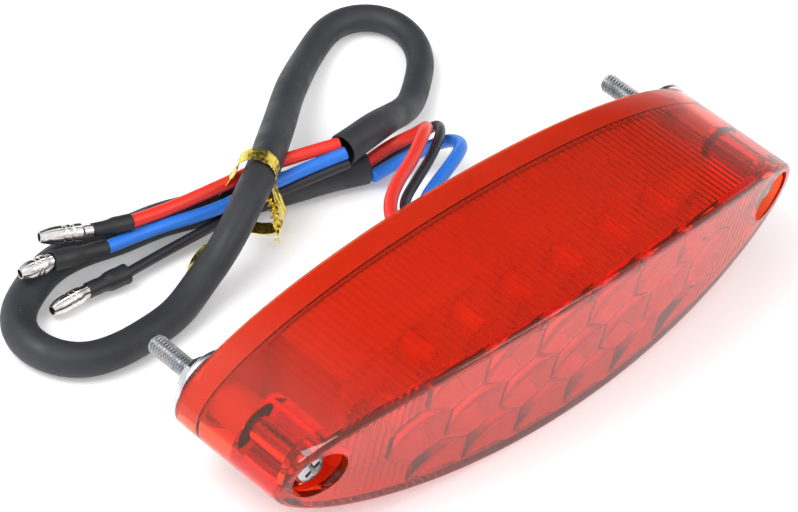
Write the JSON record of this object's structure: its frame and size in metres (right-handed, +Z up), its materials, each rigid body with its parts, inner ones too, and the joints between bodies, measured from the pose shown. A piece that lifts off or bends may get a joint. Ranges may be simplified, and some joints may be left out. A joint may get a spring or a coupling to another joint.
{
  "type": "tail light",
  "caption": "Low, wide motorcycle tail and brake light: elliptical red lens with a bowed front, LED board inside, rear mounting studs with nuts, and a sleeved wiring tail with bullet ends.",
  "frame": {"origin": "centre of the flat rear face, midway between the two mounting bolts", "axes": "+X along the lamp to the end on the right when it is seen from the front, +Y to the rear along the mounting studs, +Z up"},
  "size_m": [0.139, 0.1184, 0.0376],
  "materials": {
    "lens_red": "transparent red moulded acrylic, glossy",
    "plate_white": "off-white moulded plastic",
    "rubber_black": "black rubber",
    "board_white": "white solder mask",
    "led_clear": "water-clear to pinkish epoxy",
    "chip_black": "black component bodies",
    "zinc": "bright zinc plate",
    "wire_grey": "wire insulation",
    "wire_red": "satin PVC insulation, red",
    "wire_black": "satin PVC insulation, black",
    "wire_blue": "satin PVC insulation, blue",
    "sleeve_black": "soft matt black PVC sleeving",
    "boot_black": "shrink sleeve, matt black",
    "nickel": "nickel-plated terminals",
    "foil_gold": "gold foil ribbon"
  },
  "bodies": {
    "lamp": {"lens": "lens_red", "back_plate": "plate_white", "board_carrier": "plate_white", "circuit_board": "board_white", "leds": "led_clear", "resistors": "chip_black", "diodes": "chip_black", "board_screws": "zinc", "inner_leads": "wire_grey", "cable_grommet": "rubber_black", "through_bolt_left": "zinc", "through_bolt_right": "zinc", "wire_red_lamp": "wire_red", "wire_black_lamp": "wire_black", "wire_blue_lamp": "wire_blue", "harness_sleeve": "sleeve_black", "wire_red_plug": "wire_red", "wire_black_plug": "wire_black", "wire_blue_plug": "wire_blue", "boot_red": "boot_black", "boot_black": "boot_black", "boot_blue": "boot_black", "bullet_red": "nickel", "bullet_black": "nickel", "bullet_blue": "nickel", "twist_tie": "foil_gold"},
    "washer_left": {"washer_left": "zinc"},
    "washer_right": {"washer_right": "zinc"},
    "nut_left": {"nut_left": "zinc"},
    "nut_right": {"nut_right": "zinc"}
  },
  "joints": [
    {"name": "washer_left_slide", "type": "slide", "parent": "lamp", "child": "washer_left", "axis": [0, 1, 0], "range_m": [0, 0.0098]},
    {"name": "nut_left_turn", "type": "hinge", "parent": "washer_left", "child": "nut_left", "pos_m": [-0.06, 0.00285, 0.001], "axis": [0, 1, 0], "range_deg": [0, 5040]},
    {"name": "washer_right_slide", "type": "slide", "parent": "lamp", "child": "washer_right", "axis": [0, 1, 0], "range_m": [0, 0.0098]},
    {"name": "nut_right_turn", "type": "hinge", "parent": "washer_right", "child": "nut_right", "pos_m": [0.06, 0.00285, 0.001], "axis": [0, 1, 0], "range_deg": [0, 5040]}
  ],
  "couplings": [
    {"joint": "nut_left_turn", "follows": "washer_left_slide", "rad_per_m": 8975.9},
    {"joint": "nut_right_turn", "follows": "washer_right_slide", "rad_per_m": 8975.9}
  ]
}
